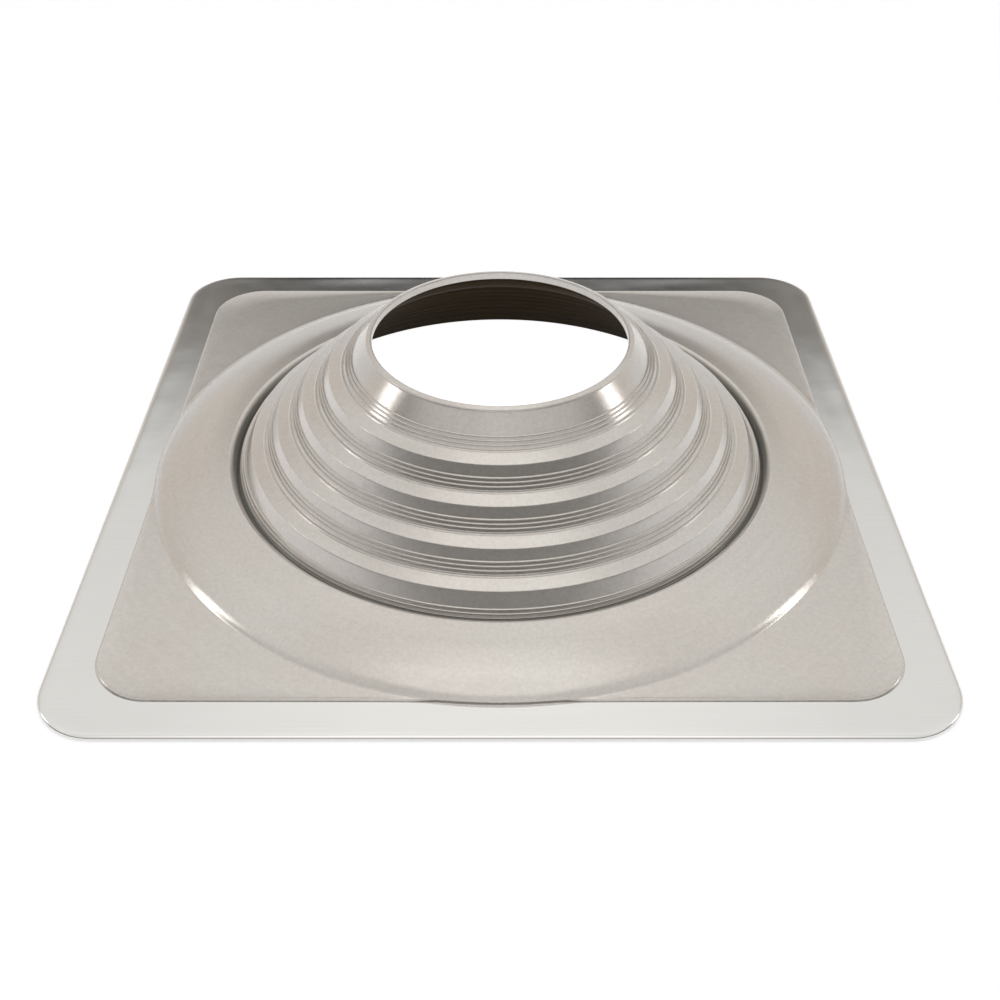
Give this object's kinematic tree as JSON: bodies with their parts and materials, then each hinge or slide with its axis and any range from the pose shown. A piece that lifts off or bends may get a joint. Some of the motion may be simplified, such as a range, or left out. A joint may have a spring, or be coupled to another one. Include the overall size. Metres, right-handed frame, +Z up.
{
  "type": "pipe flashing boot",
  "caption": "Square roof flashing boot: a hollow stepped rubber cone, trimmed to grip and seal round a pipe, on a domed square base with a flat metal border.",
  "frame": {"origin": "on the surface the boot rests on, at the centre of the square base, under the middle of the mouth", "axes": "+Z up through the mouth, along the pipe; X and Y square to the sides of the base"},
  "size_m": [0.52, 0.52, 0.1005],
  "materials": {
    "rubber": "moulded semi-gloss, warm light grey",
    "aluminium": "bright mill finish, soft temper"
  },
  "bodies": {
    "root": {"rubber_boot": "rubber", "aluminium_rim": "aluminium"}
  },
  "joints": []
}
